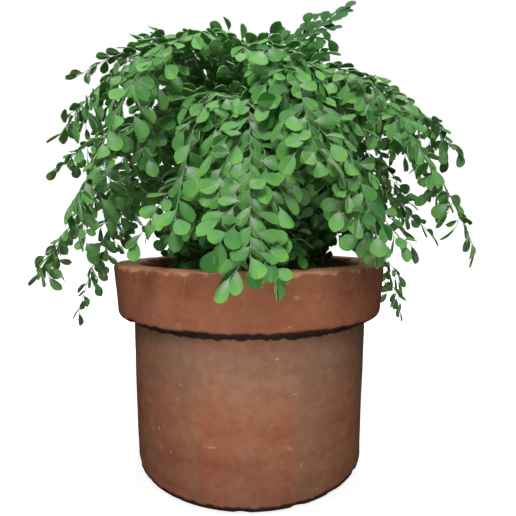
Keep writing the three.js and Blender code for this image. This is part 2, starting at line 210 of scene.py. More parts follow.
# Halves that fold up more than this meet in a sharp crease
CREASE = 0.15

TUBE_SIDES = 6
# How much greener a side rib's end is than the main rib gets
TWIGS_GREENER = 0.1

# ---- Small helpers for meshes ----

# What the foliage's meshes carry: a flat map of each leaflet, how green a place is, and which side is under
MAP = "leaf_map"
TONE = "tone"
UNDER = "under"


def new_shape():
    """An empty bmesh with the map and the marks that all foliage carries."""
    bm = bmesh.new()
    bm.loops.layers.uv.new(MAP)
    bm.verts.layers.float.new(TONE)
    bm.verts.layers.float.new(UNDER)
    return bm


def saved_mesh(bm, name, *materials):
    mesh = bpy.data.meshes.new(name)
    bm.to_mesh(mesh)
    bm.free()
    for material in materials:
        mesh.materials.append(material)
    return mesh


def add_object(name, data):
    made = bpy.data.objects.new(name, data)
    bpy.context.scene.collection.objects.link(made)
    return made


def add_piece(name, mesh, node):
    """Shows a mesh as the piece that stands for a node of the frame."""
    piece = add_object(name, mesh)
    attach(piece, "root")
    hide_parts(node)


def append(bm, template):
    """Adds a template's mesh and returns its new vertices. Nothing was ever deleted from this bmesh."""
    count = len(bm.verts)
    bm.from_mesh(template)
    bm.verts.ensure_lookup_table()
    return bm.verts[count:]


def spin_round(bm, profile, segments):
    """Turns a profile of (radius, height) corners once about the Z axis, and closes its seam and poles."""
    corners = [bm.verts.new((radius, 0, height)) for radius, height in profile]
    lines = [bm.edges.new(pair) for pair in zip(corners, corners[1:])]
    if profile[0][0] > 0:
        lines.append(bm.edges.new((corners[-1], corners[0])))
    whole = [*corners, *lines]
    bmesh.ops.spin(bm, geom=whole, axis=(0, 0, 1), angle=math.tau, steps=segments, use_merge=True)
    bmesh.ops.remove_doubles(bm, verts=bm.verts[:], dist=1e-6)
    bmesh.ops.recalc_face_normals(bm, faces=bm.faces[:])


def round_ring(bm, radius, height, offset, segments):
    """Rounds the edge that runs round at this radius and height."""
    ring = [
        edge
        for edge in bm.edges
        if all(abs(v.co.xy.length - radius) < 1e-5 and abs(v.co.z - height) < 1e-5 for v in edge.verts)
    ]
    look = {"offset_type": "OFFSET", "profile": 0.5, "affect": "EDGES", "material": -1}
    bmesh.ops.bevel(bm, geom=ring, offset=offset, segments=segments, **look)


def rise(edge):
    return abs(edge.verts[0].co.z - edge.verts[1].co.z)


def smooth_all(bm):
    for face in bm.faces:
        face.smooth = True


def mix(a, b, share):
    return a + (b - a) * share


def clamp(value, low=0.0, high=1.0):
    return max(low, min(high, value))


# ---- Shader helpers ----


def add_node(tree, kind, inputs=None, **settings):
    """Adds a node. Its inputs take a number, a colour or another node's output."""
    node = tree.nodes.new(kind)
    for name, value in settings.items():
        setattr(node, name, value)
    for name, value in (inputs or {}).items():
        if isinstance(value, bpy.types.NodeSocket):
            tree.links.new(value, node.inputs[name])
        else:
            node.inputs[name].default_value = value
    return node


def math_node(tree, operation, *values):
    return add_node(tree, "ShaderNodeMath", dict(enumerate(values)), operation=operation).outputs[0]


def times(tree, *values):
    """The product of numbers and outputs."""
    return reduce(lambda a, b: math_node(tree, "MULTIPLY", a, b), values)


def blend_colours(tree, share, first, second):
    """Mixes two colours by a mask. Colours are given as three numbers or as an output."""
    node = add_node(tree, "ShaderNodeMix", data_type="RGBA")
    for name, value in (("Factor_Float", share), ("A_Color", first), ("B_Color", second)):
        socket = next(s for s in node.inputs if s.identifier == name)
        if isinstance(value, bpy.types.NodeSocket):
            tree.links.new(value, socket)
        else:
            socket.default_value = value if name == "Factor_Float" else (*value, 1)
    return next(s for s in node.outputs if s.identifier == "Result_Color")


def stain(tree, base, tint, *masks):
    """Lays a colour over the base, as strongly as the product of the masks and numbers says."""
    return blend_colours(tree, times(tree, *masks), base, tint)


def between(tree, value, start, end, low=0.0, high=1.0):
    """A smooth step of a value: low before start, high after end."""
    inputs = {"Value": value, "From Min": start, "From Max": end, "To Min": low, "To Max": high}
    return add_node(tree, "ShaderNodeMapRange", inputs, interpolation_type="SMOOTHSTEP").outputs["Result"]


def stretched(tree, vector, scale):
    return add_node(tree, "ShaderNodeMapping", {"Vector": vector, "Scale": scale}).outputs["Vector"]


def mark(tree, name):
    """What a mesh says about itself under this name."""
    return add_node(tree, "ShaderNodeAttribute", attribute_name=name).outputs["Fac"]


def cloud(tree, vector, scale, detail, **inputs):
    """Soft noise around 0.5. A larger scale makes it finer."""
    inputs = {"Vector": vector, "Scale": scale, "Detail": detail} | inputs
    return add_node(tree, "ShaderNodeTexNoise", inputs).outputs["Fac"]


def new_material(name):
    """A material with its tree, and its object's own coordinates."""
    material = bpy.data.materials.new(name)
    material.use_nodes = True
    tree = material.node_tree
    return material, tree, add_node(tree, "ShaderNodeTexCoord").outputs["Object"]


def set_shader(tree, base, roughness, specular, normal):
    """Links what varies over a material to its Principled shader, and sets how much it reflects."""
    shader = tree.nodes["Principled BSDF"]
    for name, value in (("Base Color", base), ("Roughness", roughness), ("Normal", normal)):
        tree.links.new(value, shader.inputs[name])
    shader.inputs["Specular IOR Level"].default_value = specular


def new_group(name, numbers, output):
    """A shader node group that takes a vector and some numbers, what it is given, and its output."""
    group = bpy.data.node_groups.new(name, "ShaderNodeTree")
    group.interface.new_socket(name="Vector", in_out="INPUT", socket_type="NodeSocketVector")
    for label in numbers:
        group.interface.new_socket(name=label, in_out="INPUT", socket_type="NodeSocketFloat")
    group.interface.new_socket(name=output, in_out="OUTPUT", socket_type="NodeSocketFloat")
    given, end = group.nodes.new("NodeGroupInput"), group.nodes.new("NodeGroupOutput")
    return group, given.outputs, end.inputs[output]


def patches_group():
    """Blotches with broken edges: how much of the surface they cover, and how softly they end."""
    group, given, mask = new_group("Patches", ("Scale", "Cover", "Softness"), "Mask")
    spots = cloud(group, given["Vector"], given["Scale"], 5.0, Roughness=0.62)
    # The noise lies between 0.3 and 0.7 nearly everywhere
    threshold = between(group, given["Cover"], 0.0, 1.0, 0.7, 0.3)
    low = math_node(group, "SUBTRACT", threshold, given["Softness"])
    high = math_node(group, "ADD", threshold, given["Softness"])
    group.links.new(between(group, spots, low, high), mask)
    return group


def grain_group():
    """A fine grain with a coarser one under it, for the height of a bump."""
    group, given, height = new_group("Grain", ("Scale", "Coarseness"), "Height")
    coarse = cloud(group, given["Vector"], times(group, given["Scale"], 0.18), 4.0)
    fine = cloud(group, given["Vector"], given["Scale"], 3.0)
    both = math_node(group, "MULTIPLY_ADD", coarse, given["Coarseness"], fine)
    group.links.new(both, height)
    return group


def use_group(tree, name, build, **inputs):
    """Adds a node group, which is built at its first use, and returns its output."""
    group = bpy.data.node_groups.get(name) or build()
    return add_node(tree, "ShaderNodeGroup", inputs, node_tree=group).outputs[0]


def patches(tree, vector, scale, cover, softness):
    look = {"Scale": scale, "Cover": cover, "Softness": softness}
    return use_group(tree, "Patches", patches_group, Vector=vector, **look)


def grain(tree, vector, scale, coarseness):
    return use_group(tree, "Grain", grain_group, Vector=vector, Scale=scale, Coarseness=coarseness)


def bump(tree, height, strength, distance):
    inputs = {"Height": height, "Strength": strength, "Distance": distance}
    return add_node(tree, "ShaderNodeBump", inputs).outputs["Normal"]


# ---- Settings ----


def length(name, description, default):
    return FloatProperty(name=name, description=description, default=default, unit="LENGTH", precision=4)


def colour(name, description, default):
    kind = {"subtype": "COLOR", "size": 3, "min": 0, "max": 1}
    return FloatVectorProperty(name=name, description=description, default=default, **kind)


def angle(name, description, degrees):
    default = math.radians(degrees)
    return FloatProperty(name=name, description=description, default=default, subtype="ANGLE")


def power(name, description, watts):
    return FloatProperty(name=name, description=description, default=watts, min=0, unit="POWER")


def strength(name, description, default):
    return FloatProperty(name=name, description=description, default=default, min=0)


class PotSettings(bpy.types.PropertyGroup):
    """The pot's sizes and clay colours."""

    height: length("Height", "From the floor to the lip", POT_TOP.z)
    rim_radius: length("Rim radius", "At the lip", POT_TOP.x)
    rim_foot_radius: length("Rim foot radius", "At the rim band's lower edge", 0.0975)
    rim_height: length("Rim height", "How tall the rim band is", 0.036)
    body_top_radius: length("Body top radius", "Under the rim band", 0.087)
    base_radius: length("Base radius", "At the floor", 0.085)
    mouth_radius: length("Mouth radius", "Inside the lip", 0.083)
    inner_base_radius: length("Inner base radius", "Inside, at the pot's bottom", 0.074)
    bottom: length("Bottom", "How thick the pot's bottom is", 0.012)
    drain_radius: length("Drain radius", "Of the hole in the bottom", 0.009)
    lip_round: length("Lip rounding", "Radius of the lip's two edges", 0.0034)
    edge_round: length("Edge rounding", "Radius of the outer lower edges", 0.003)
    uneven: length("Unevenness", "How far the hand-worn wall strays", 0.0004)
    segments: IntProperty(name="Segments", description="Faces round the pot", default=216, min=24)
    clay: colour("Clay", "The fired clay", (0.36, 0.13, 0.064))
    red_clay: colour("Red clay", "Where the clay is bare and red", (0.31, 0.075, 0.036))
    bloom: colour("Bloom", "The grey bloom on the body", (0.29, 0.18, 0.118))
    # Also paints the lip lighter, partly as wear and partly as painted light
    worn: colour("Worn clay", "Worn edges and scratches", (0.76, 0.39, 0.21))
    # Painted brighter than the clay outside, as painted light on the shaded inner wall
    painted_light_inner_clay: colour("Inner clay", "The inner wall above the soil", (0.78, 0.25, 0.12))
    # Also the painted shade under the rim band and at the foot, besides the clay's dark mottling
    mottle_and_shade: colour("Grime_and_shade", "Shade under the rim and at the foot", (0.011, 0.006, 0.004))


class SoilSettings(bpy.types.PropertyGroup):
    """The potting soil."""

    edge_height: length("Edge height", "Of the soil at the wall", 0.117)
    height: length("Height", "Of the soil in the middle", 0.123)
    crumbs: IntProperty(name="Crumbs", description="How many crumbs lie on top", default=520, min=0)
    crumb_radius: length("Crumb radius", "Of the largest crumb", 0.0032)
    uneven: length("Unevenness", "How far the top rises and falls", 0.0018)
    dark: colour("Dark", "Damp soil", (0.018, 0.011, 0.007))
    light: colour("Light", "Dry crumbs", (0.085, 0.052, 0.032))


class FernSettings(bpy.types.PropertyGroup):
    """The leaflets, their ribs and their colours."""

    leaflet_scale: strength("Leaflet scale", "Against the usual length of each ring", 1.0)
    leaflet_spacing: length("Leaflet spacing", "From a leaflet to the next one along its rib", 0.0045)
    # Also the painted shade that keeps the skirt's and the sprig's leaflets deep
    deep: colour("Deep green", "Old leaflets", (0.027, 0.17, 0.022))
    green: colour("Green", "Most leaflets", (0.135, 0.42, 0.105))
    young: colour("Young green", "The outer edges and young leaflets", (0.19, 0.5, 0.085))
    # Painted sheen along the midrib; also the paler undersides
    sheen_and_pale_underside: colour("Sheen", "The grey cast near a leaflet's midrib", (0.44, 0.5, 0.38))
    # Painted highlight along a leaflet's thin edge
    edge: colour("Edge", "A leaflet's thin pale edge", (0.42, 0.72, 0.3))
    stalk: colour("Stalk", "The wiry stalks", (0.012, 0.009, 0.007))
    rib: colour("Rib", "The ribs among the leaflets", (0.19, 0.3, 0.13))


class StageSettings(bpy.types.PropertyGroup):
    """The camera, the lights and the pale floor."""

    camera_distance: length("Camera distance", "From the pot's axis", 0.311)
    camera_height: length("Camera height", "Above the floor", 0.166)
    camera_pitch: angle("Camera pitch", "How far it looks down", 3.6)
    camera_turn: angle("Camera turn", "How far it looks to the right", 1.15)
    lens: FloatProperty(name="Lens", description="Focal length", default=27.9, min=1, unit="CAMERA")
    key_power: power("Key light", "In front of the plant and above it", 0.5)
    low_power: power("Low light", "Near the pot", 0.037)
    bounce_power: power("Bounce light", "As if off the floor", 1.9)
    side_power: power("Side lights", "Each of the two", 0.023)
    back_power: power("Back light", "Behind the plant", 9.0)
    top_power: power("Top light", "Overhead", 4.0)
    fill: strength("Fill", "Strength of the sky overhead", 0.55)
    floor: colour("Floor", "The floor and backdrop", (0.8, 0.8, 0.8))
    glow: strength("Glow", "How far the floor is lit up near the pot", 0.6)
    backdrop_glow: strength("Backdrop glow", "How far it is lit up far from the pot", 0.93)


# ---- Materials ----


# The clay's patterns: how flat they are, how fine, how much they cover, how softly they end, and how
# strongly they show
CLAY = {
    "clouds": (1, 20.0, 0.5, 0.25, 1.0),
    "streaks": (4.5, 15.0, 0.4, 0.13, 0.8),
    "bloom": (1.6, 16.0, 0.6, 0.22, 0.85),
    "bands": (0.06, 34.0, 0.45, 0.13, 0.42),
    "dashes": (4, 110.0, 0.42, 0.06, 0.26),
    "dashed places": (1, 22.0, 0.5, 0.1, 1.0),
    "mottling": (1, 160.0, 0.5, 0.16, 0.2),
    "worn places": (1, 30.0, 0.42, 0.08, 1.0),
    "chips": (1.6, 150.0, 0.2, 0.03, 1.0),
}
# The pot's scratches: how far each kind leans, how many times as long as wide it is, and how fine
SCRATCHES = ((0.4, 9, 360.0), (-1.2, 7, 300.0))
SCRATCH_COVER = 0.14
SCRATCH_SOFTNESS = 0.025
SCRATCHES_SHOW = 0.6
# How strongly the lip is painted lighter, partly as wear and partly as painted light
WORN_AND_LIT_LIP_SHOWS = 0.85
# How strongly the painted shade under the rim band and at the foot shows
PAINTED_SHADE_SHOWS = 0.95
# The lip's wear and painted light, and the painted shade under the rim band and at the foot, end raggedly:
# how fine that is, and how far it strays
LIP_RAGGED = (120.0, 12 * MM)
PAINTED_SHADE_RAGGED = (190.0, 4 * MM)


def streaked(tree, vector, turn, reach):
    """Stretches a pattern along a line that leans in the front view."""
    inputs = {"Vector": vector, "Rotation": (0, turn, 0), "Scale": (1, 1, reach)}
    return add_node(tree, "ShaderNodeMapping", inputs, vector_type="TEXTURE").outputs["Vector"]


def terracotta(pot):
    """Fired clay with a grey bloom, red streaks, pale scratches and worn edges; its lip painted lighter as
    wear and as painted light, its inner wall painted brighter as painted light, and painted shade under the
    rim band and at the foot.
    """
    material, tree, point = new_material("terracotta")
    height = add_node(tree, "ShaderNodeSeparateXYZ", {"Vector": point}).outputs["Z"]
    rim_foot = pot.height - pot.rim_height
    on_body = between(tree, height, rim_foot - MM, rim_foot, 1.0, 0.0)

    def clay(pattern):
        flat, *look, shows = CLAY[pattern]
        return times(tree, patches(tree, stretched(tree, point, (1, 1, flat)), *look), shows)

    clouds = clay("clouds")
    base = blend_colours(tree, clouds, pot.clay, [channel * 1.2 for channel in pot.clay])
    redder_low_down = between(tree, height, 0.04, rim_foot, 0.85, 0.45)
    base = stain(tree, base, pot.red_clay, clay("streaks"), redder_low_down)
    greyer_high_up = between(tree, height, 0.045, rim_foot, 0.1, 1.0)
    base = stain(tree, base, pot.bloom, clay("bloom"), greyer_high_up, on_body)
    base = stain(tree, base, pot.bloom, clay("bands"), on_body)

    # The inner wall's clay is painted brighter, as painted light where the foliage shades it
    flat_point = stretched(tree, point, (1, 1, 0))
    off_axis = add_node(tree, "ShaderNodeVectorMath", {0: flat_point}, operation="LENGTH").outputs["Value"]
    inside = between(tree, off_axis, pot.mouth_radius - MM, pot.mouth_radius + 2 * MM, 0.9, 0.0)
    base = stain(tree, base, pot.painted_light_inner_clay, inside, between(tree, height, 0.0, pot.bottom))

    base = stain(tree, base, pot.bloom, clay("dashes"), clay("dashed places"))
    base = stain(tree, base, pot.mottle_and_shade, clay("mottling"))

    # Chips and straight scratches gather in some places
    marks = clay("chips")
    for turn, reach, fineness in SCRATCHES:
        line = streaked(tree, point, turn, reach)
        line = patches(tree, line, fineness, SCRATCH_COVER, SCRATCH_SOFTNESS)
        marks = math_node(tree, "MAXIMUM", marks, line)
    marks = times(tree, marks, clay("worn places"))
    base = stain(tree, base, pot.worn, marks, SCRATCHES_SHOW)

    def ragged_height(fineness, stray, detail):
        off = math_node(tree, "SUBTRACT", cloud(tree, point, fineness, detail), 0.5)
        return math_node(tree, "MULTIPLY_ADD", off, stray, height)

    # The lip is painted lighter, partly as wear and partly as painted light on its top, and a painted
    # highlight runs along its top edge
    lip = between(tree, ragged_height(*LIP_RAGGED, 5.0), pot.height - 2.5 * MM, pot.height - 0.5 * MM)
    edge = between(tree, height, pot.height - 1.6 * MM, pot.height - 0.4 * MM, 0.0, 0.6)
    lip = math_node(tree, "MAXIMUM", times(tree, lip, WORN_AND_LIT_LIP_SHOWS), edge)
    base = stain(tree, base, pot.worn, lip)

    # Painted shade: near-black under the rim band, where its shadow falls, and round the foot
    ragged = ragged_height(*PAINTED_SHADE_RAGGED, 4.0)
    above = between(tree, ragged, rim_foot - 5 * MM, rim_foot - 3.8 * MM)
    below = between(tree, ragged, rim_foot + 1.4 * MM, rim_foot + 3.4 * MM, 1.0, 0.0)
    foot = between(tree, ragged, 3.2 * MM, 4.8 * MM, 1.0, 0.0)
    painted_shade = math_node(tree, "MAXIMUM", times(tree, above, below), foot)
    base = stain(tree, base, pot.mottle_and_shade, painted_shade, PAINTED_SHADE_SHOWS)

    turned = cloud(tree, stretched(tree, point, (0.6, 0.6, 30)), 22.0, 2.0)
    surface = math_node(tree, "MULTIPLY_ADD", turned, 0.3, grain(tree, point, 1500.0, 1.1))
    surface = math_node(tree, "MULTIPLY_ADD", marks, 0.5, surface)
    roughness = between(tree, clouds, 0.0, 1.0, 0.78, 0.92)
    set_shader(tree, base, roughness, 0.25, bump(tree, surface, 0.55, 0.6 * MM))
    return material


def potting_soil(soil):
    """Damp dark soil with drier crumbs."""
    material, tree, point = new_material("potting_soil")
    dry = patches(tree, point, 190.0, 0.42, 0.1)
    base = blend_colours(tree, dry, soil.dark, soil.light)
    roughness = between(tree, dry, 0.0, 1.0, 0.8, 0.97)
    set_shader(tree, base, roughness, 0.2, bump(tree, grain(tree, point, 900.0, 2.0), 0.9, 1 * MM))
    return material


# How close a leaflet's veins are, as a sine of their turn, and how far below its root they fan out from
VEINS = 52.0
FAN_BELOW_ROOT = 0.12
VEINS_SHOW = 0.22
# How strongly the painted edge highlight shows
EDGE_HIGHLIGHT_SHOWS = 0.8
# Multiplies a leaflet's tone, so that its later digits are a second draw
DRAW_AGAIN = 37.7


def leaf_skin(fern):
    """A leaflet: deep to young green by its own tone, with a painted sheen, a painted highlight on its thin
    edge, paler undersides and fanning veins.
    """
    material, tree, point = new_material("leaf_skin")
    place = add_node(tree, "ShaderNodeUVMap", uv_map=MAP).outputs["UV"]
    axes = add_node(tree, "ShaderNodeSeparateXYZ", {"Vector": place})
    along = axes.outputs["Y"]
    aside = math_node(tree, "SUBTRACT", axes.outputs["X"], 0.5)
    tone = mark(tree, TONE)
    under = mark(tree, UNDER)

    base = blend_colours(tree, between(tree, tone, 0.0, 0.55), fern.deep, fern.green)
    outer = between(tree, along, 0.35, 0.95)
    base = stain(tree, base, fern.young, outer, between(tree, tone, 0.05, 0.7, 0.15, 1.0))

    # The painted sheen lies along the midrib and near the root, and only some leaflets have much of it
    blotches = patches(tree, point, 260.0, 0.5, 0.15)
    drawn_again = math_node(tree, "FRACT", times(tree, tone, DRAW_AGAIN))
    painted_sheen = (
        between(tree, math_node(tree, "ABSOLUTE", aside), 0.02, 0.24, 1.0, 0.0),
        between(tree, along, 0.25, 0.8, 1.0, 0.1),
        between(tree, drawn_again, 0.35, 0.9, 0.2, 1.0),
        between(tree, tone, 0.0, 0.3, 0.15, 1.0),
        between(tree, blotches, 0.0, 1.0, 0.5, 1.0),
    )
    base = stain(tree, base, fern.sheen_and_pale_underside, *painted_sheen)

    fan = math_node(tree, "ARCTAN2", aside, math_node(tree, "ADD", along, FAN_BELOW_ROOT))
    veins = math_node(tree, "SINE", times(tree, fan, VEINS))
    base = stain(tree, base, fern.deep, between(tree, veins, 0.5, 1.0, 0.0, VEINS_SHOW))
    # The undersides are paler
    base = stain(tree, base, fern.sheen_and_pale_underside, under, between(tree, tone, 0.0, 0.3, 0.03, 0.2))
    # Painted highlight: the thin edge faces are painted pale, as if they caught the light
    at_edge = times(tree, under, math_node(tree, "SUBTRACT", 1.0, under))
    base = stain(tree, base, fern.edge, between(tree, at_edge, 0.04, 0.18, 0.0, EDGE_HIGHLIGHT_SHOWS))

    height = math_node(tree, "MULTIPLY_ADD", veins, -0.5, grain(tree, point, 1400.0, 1.0))
    roughness = between(tree, blotches, 0.0, 1.0, 0.42, 0.58)
    set_shader(tree, base, roughness, 0.3, bump(tree, height, 0.25, 0.2 * MM))
    return material


def rib_skin(fern):
    """Wiry stalks that are nearly black at the soil and green where the leaflets grow."""
    material, tree, point = new_material("rib_skin")
    tone = mark(tree, TONE)
    mottled = patches(tree, point, 320.0, 0.5, 0.2)
    tone = math_node(tree, "MULTIPLY_ADD", mottled, 0.12, tone)
    base = blend_colours(tree, between(tree, tone, 0.4, 0.72), fern.stalk, fern.rib)
    base = stain(tree, base, fern.green, between(tree, tone, 0.75, 1.1, 0.0, 0.6))
    roughness = between(tree, mottled, 0.0, 1.0, 0.4, 0.55)
    fibres = grain(tree, stretched(tree, point, (1, 1, 0.3)), 1600.0, 0.6)
    set_shader(tree, base, roughness, 0.45, bump(tree, fibres, 0.3, 0.2 * MM))
    return material


def stage_paper(stage):
    """Pale paper. The camera sees it lit up from behind, and the plant gets none of that light."""
    material, tree, point = new_material("stage_paper")
    tree.nodes.remove(tree.nodes["Principled BSDF"])
    darker = [channel * 0.985 for channel in stage.floor]
    faint = blend_colours(tree, patches(tree, point, 2.0, 0.5, 0.3), stage.floor, darker)
    paper = add_node(tree, "ShaderNodeBsdfDiffuse", {"Color": faint}).outputs[0]
    seen = add_node(tree, "ShaderNodeLightPath").outputs["Is Camera Ray"]
    away = add_node(tree, "ShaderNodeVectorMath", {0: point}, operation="LENGTH").outputs["Value"]
    lit = between(tree, away, 0.25, 1.9, stage.glow, stage.backdrop_glow)
    glow = add_node(tree, "ShaderNodeEmission", {"Strength": times(tree, seen, lit)}).outputs[0]
    both = add_node(tree, "ShaderNodeAddShader", {0: paper, 1: glow}).outputs[0]
    tree.links.new(both, tree.nodes["Material Output"].inputs["Surface"])
    return material


# ---- Stage ----


# The lights: where each stands, where it points, how wide and deep it is, and its spread in degrees. The
# first word of a light's name is that of its power in the settings
LIGHTS = {
    "key": ((-0.05, -0.52, 0.52), (0, 0, 0.22), 0.16, 0.16, 90),
    "low": ((-0.005, -0.26, 0.085), (0, 0, 0.08), 0.04, 0.04, 84),
    "bounce": ((0, -0.9, -0.5), (0, 0, 0.24), 0.6, 0.4, 180),
    "side_left": ((-0.6, -0.3, 0.46), (0, 0, 0.26), 0.2, 0.2, 38),
    "side_right": ((0.6, -0.3, 0.46), (0, 0, 0.26), 0.2, 0.2, 38),
    "back": ((0.1, 1.1, 0.6), (0, 0, 0.17), 0.8, 0.6, 180),
    "top": ((0, 0.1, 1.5), (0, 0, 0.17), 1.2, 1.2, 180),
}
SKY_AT_HORIZON = 0.05
FLOOR_REACH = 2.6
BACKDROP_TOP = 3.2
BACKDROP_SWEEP = 0.9
FLOOR_DROP = 0.2 * MM


class FERN_OT_stage(bpy.types.Operator):
    """Sets up the camera, the lights and the pale floor"""

    bl_idname = "fern.stage"
    bl_label = "Stage"

    def execute(self, context):
        scene = context.scene
        stage = scene.fern_stage
        data = bpy.data.cameras.new("camera")
        data.lens = stage.lens
        data.sensor_width = 36
        data.clip_start = 0.01
        camera = add_object("camera", data)
        camera.location = (0, -stage.camera_distance, stage.camera_height)
        camera.rotation_euler = (math.pi / 2 - stage.camera_pitch, 0, -stage.camera_turn)
        scene.camera = camera
        scene.view_settings.view_transform = "Standard"
        for name, light in LIGHTS.items():
            self.add_light(name, getattr(stage, name.split("_")[0] + "_power"), *light)
        self.add_sky(scene, stage)
        self.add_floor(stage)
        return {"FINISHED"}

    def add_light(self, name, watts, place, target, width, depth, spread):
        data = bpy.data.lights.new(name, "AREA")
        data.shape = "RECTANGLE"
        data.size = width
        data.size_y = depth
        data.energy = watts
        data.spread = math.radians(spread)
        light = add_object(name, data)
        light.location = place
        light.rotation_euler = (Vector(target) - Vector(place)).to_track_quat("-Z", "Y").to_euler()
        light.visible_camera = False

    def add_sky(self, scene, stage):
        """Light that is strongest from overhead, and nearly nothing from the sides and below."""
        world = bpy.data.worlds.new("sky")
        world.use_nodes = True
        tree = world.node_tree
        heading = add_node(tree, "ShaderNodeTexCoord").outputs["Generated"]
        up = add_node(tree, "ShaderNodeSeparateXYZ", {"Vector": heading}).outputs["Z"]
        glow = between(tree, up, 0.2, 0.95, stage.fill * SKY_AT_HORIZON, stage.fill)
        background = tree.nodes["Background"]
        tree.links.new(glow, background.inputs["Strength"])
        background.inputs["Color"].default_value = (1, 1, 1, 1)
        scene.world = world

    def add_floor(self, stage):
        """A round floor that curves up into a backdrop on all sides."""
        bm = bmesh.new()
        profile = ((0, 0, 0), (FLOOR_REACH, 0, 0), (FLOOR_REACH, 0, BACKDROP_TOP))
        corners = [bm.verts.new(corner) for corner in profile]
        lines = [bm.edges.new(pair) for pair in zip(corners, corners[1:])]
        bmesh.ops.spin(bm, geom=[*corners, *lines], axis=(0, 0, 1), angle=math.tau, steps=96, use_merge=True)
        bmesh.ops.remove_doubles(bm, verts=bm.verts[:], dist=1e-5)
        round_ring(bm, FLOOR_REACH, 0, BACKDROP_SWEEP, 16)
        bmesh.ops.translate(bm, verts=bm.verts[:], vec=(0, 0, -FLOOR_DROP))
        smooth_all(bm)
        floor = add_object("floor", saved_mesh(bm, "floor", stage_paper(stage)))
        # The sky lights the plant as if the backdrop weren't there
        floor.visible_diffuse = False
        floor.visible_glossy = False
        floor.visible_shadow = False


# ---- Pot ----

CHIP_SCALE = 95
CHIP_REACH = 4.5 * MM
CHIP_DEPTH = 1.6 * MM
CHIP_PLACE = Vector((3, 7, 11))
CHIPS_START = 0.16
CHIP_STEEPNESS = 3.2
# How far a chip moves an edge up or down, against how far it goes in
CHIP_LIFTS = 0.6
# The wall's slow swells and its lip's waves: how fine they are, and how high as a share of its unevenness
WALL_SWELLS = ((16, 1.6), (70, 0.45))
LIP_WAVES = (24, 1.4)
# The marks of turning: how close they are, as a sine of the height, how they wander, and how deep they are
TURNING_MARKS = 900
MARKS_WANDER = (9, 5)
MARKS_DEPTH = 0.12
EVEN_FOOT = 4 * MM


def weather_wall(pot, place):
    """Where a point of the pot's wall goes: slow swells, faint turning marks, and chips along the edges."""
    rim_foot = pot.height - pot.rim_height
    radius = place.xy.length
    push = sum(noise.noise(place * fineness) * height for fineness, height in WALL_SWELLS)
    wander = noise.noise(place * MARKS_WANDER[0]) * MARKS_WANDER[1]
    push += math.sin(place.z * TURNING_MARKS + wander) * MARKS_DEPTH
    push *= pot.uneven * clamp(place.z / EVEN_FOOT)
    lift = 0.0
    if place.z > pot.height - CHIP_REACH * 2:
        lift = noise.noise(place * LIP_WAVES[0]) * pot.uneven * LIP_WAVES[1]
    edges = (
        (pot.rim_radius, pot.height),
        (pot.mouth_radius, pot.height),
        (pot.rim_foot_radius, rim_foot),
        (pot.base_radius, 0.0),
    )
    broken = (noise.noise(place * CHIP_SCALE + CHIP_PLACE) - CHIPS_START) * CHIP_STEEPNESS
    for edge_radius, edge_height in edges:
        near = clamp(1 - math.hypot(radius - edge_radius, place.z - edge_height) / CHIP_REACH)
        chip = clamp(broken) * near * CHIP_DEPTH
        push += chip * (-1 if edge_radius > pot.mouth_radius else 1)
        lift += chip * CHIP_LIFTS * (-1 if edge_height > rim_foot else 1)
    if place.z < 0.5 * MM:
        lift = 0.0
    outwards = Vector((place.x, place.y, 0)).normalized()
    return place + outwards * push + Vector((0, 0, lift))


class FERN_OT_pot(bpy.types.Operator):
    """Turns the clay pot with its rim band and its worn edges"""

    bl_idname = "fern.pot"
    bl_label = "Pot"

    def execute(self, context):
        pot = context.scene.fern_pot
        rim_foot = pot.height - pot.rim_height
        bm = bmesh.new()
        profile = [
            (pot.drain_radius, 0),
            (pot.base_radius, 0),
            (pot.body_top_radius, rim_foot),
            (pot.rim_foot_radius, rim_foot),
            (pot.rim_radius, pot.height),
            (pot.mouth_radius, pot.height),
            (pot.inner_base_radius, pot.bottom),
            (pot.drain_radius, pot.bottom),
        ]
        spin_round(bm, profile, pot.segments)
        for radius, height in ((pot.base_radius, 0), (pot.rim_foot_radius, rim_foot)):
            round_ring(bm, radius, height, pot.edge_round, 4)
        for radius in (pot.rim_radius, pot.mouth_radius):
            round_ring(bm, radius, pot.height, pot.lip_round, 6)
        for tallest, cuts in ((60 * MM, 34), (20 * MM, 9)):
            tall = [edge for edge in bm.edges if rise(edge) > tallest]
            bmesh.ops.subdivide_edges(bm, edges=tall, cuts=cuts, use_grid_fill=True)
        for vert in bm.verts:
            if vert.co.xy.length > pot.drain_radius * 1.5:
                vert.co = weather_wall(pot, vert.co)
        smooth_all(bm)
        for edge in bm.edges:
            edge.smooth = edge.calc_face_angle(0) < math.radians(50)
        add_piece("clay_pot", saved_mesh(bm, "clay_pot", terracotta(pot)), "pot")
        return {"FINISHED"}


# ---- Soil ----

SOIL_RINGS = 26
SOIL_SEGMENTS = 120
SOIL_GAP = 0.3 * MM
# The unevenness of its top: how fine it is, and how high
SOIL_WAVES = ((45, 1.0), (140, 0.6))
# A crumb: its size against the largest, how much more often it is small, how high it lies, its three widths,
# and how fine and how high its lumps are
CRUMB_SIZES = (0.3, 1)
SMALL_CRUMBS = 1.6
CRUMB_LIFT = 0.25
CRUMB_WIDTHS = Vector((1, 0.8, 0.65))
CRUMB_LUMPS = (1.7, 0.35)
# The share of the soil's radius that has crumbs, and how far a crumb strays from its even turn, in radians
CRUMBS_REACH = 0.96
CRUMB_STRAY = 0.2


def inner_radius(pot, height):
    """The pot's inner wall, at a height."""
    return mix(pot.inner_base_radius, pot.mouth_radius, (height - pot.bottom) / (pot.height - pot.bottom))


def soil_top(scene, radius):
    """The soil's top, which is a little higher in the middle."""
    soil = scene.fern_soil
    edge = inner_radius(scene.fern_pot, soil.edge_height)
    return mix(soil.height, soil.edge_height, (radius / edge) ** 2)


def soil_bump(soil, place):
    return sum(noise.noise(place * fineness) * height for fineness, height in SOIL_WAVES) * soil.uneven


